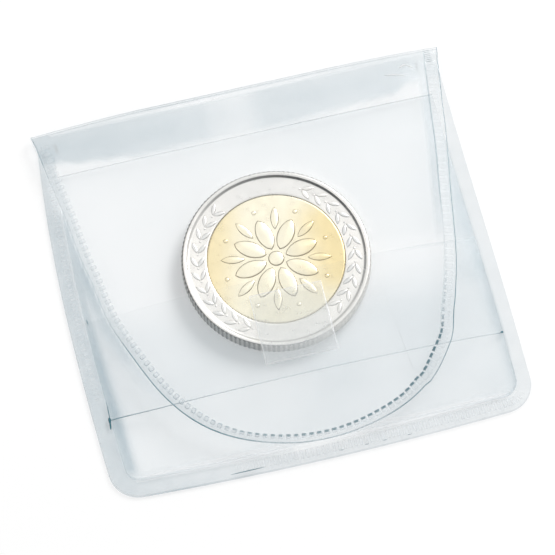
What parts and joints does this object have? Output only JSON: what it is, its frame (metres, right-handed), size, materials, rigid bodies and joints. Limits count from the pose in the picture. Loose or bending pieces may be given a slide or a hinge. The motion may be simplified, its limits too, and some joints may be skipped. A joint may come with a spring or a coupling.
{
  "type": "coin pouch",
  "caption": "Clear vinyl coin pouch with welded edges, a retaining strap and a rounded fold-over flap, holding a two-metal coin.",
  "frame": {"origin": "on the resting surface under the middle of the closed pouch", "axes": "+X across the pouch towards its right side weld, +Y up towards the fold, +Z out of the resting surface"},
  "size_m": [0.0584, 0.0544, 0.004],
  "materials": {
    "film": "soft clear vinyl film, glossy, with a faint blue tint",
    "strap_film": "soft clear vinyl film, glossy",
    "patch": "clear soft pad, slightly milky",
    "weld": "fused and ribbed vinyl",
    "coin_ring": "struck nickel-coloured metal, softly worn",
    "coin_core": "struck pale brass, softly worn"
  },
  "bodies": {
    "pouch": {"back_panel": "film", "front_panel": "film", "retaining_strap": "strap_film", "closure_patch": "patch", "left_weld": "weld", "right_weld": "weld", "bottom_weld": "weld", "fold_hinge": "film"},
    "flap": {"flap_panel": "film", "flap_rim_weld": "weld"},
    "coin": {"coin_ring": "coin_ring", "coin_core": "coin_core"}
  },
  "joints": [
    {"name": "flap_hinge", "type": "hinge", "parent": "pouch", "child": "flap", "pos_m": [0, 0.02707, 0.002], "axis": [-1, 0, 0], "range_deg": [0, 179.9], "deforming": ["fold_hinge"]},
    {"name": "coin_slide", "type": "slide", "parent": "pouch", "child": "coin", "axis": [0, 1, 0], "range_m": [0, 0.045]}
  ]
}
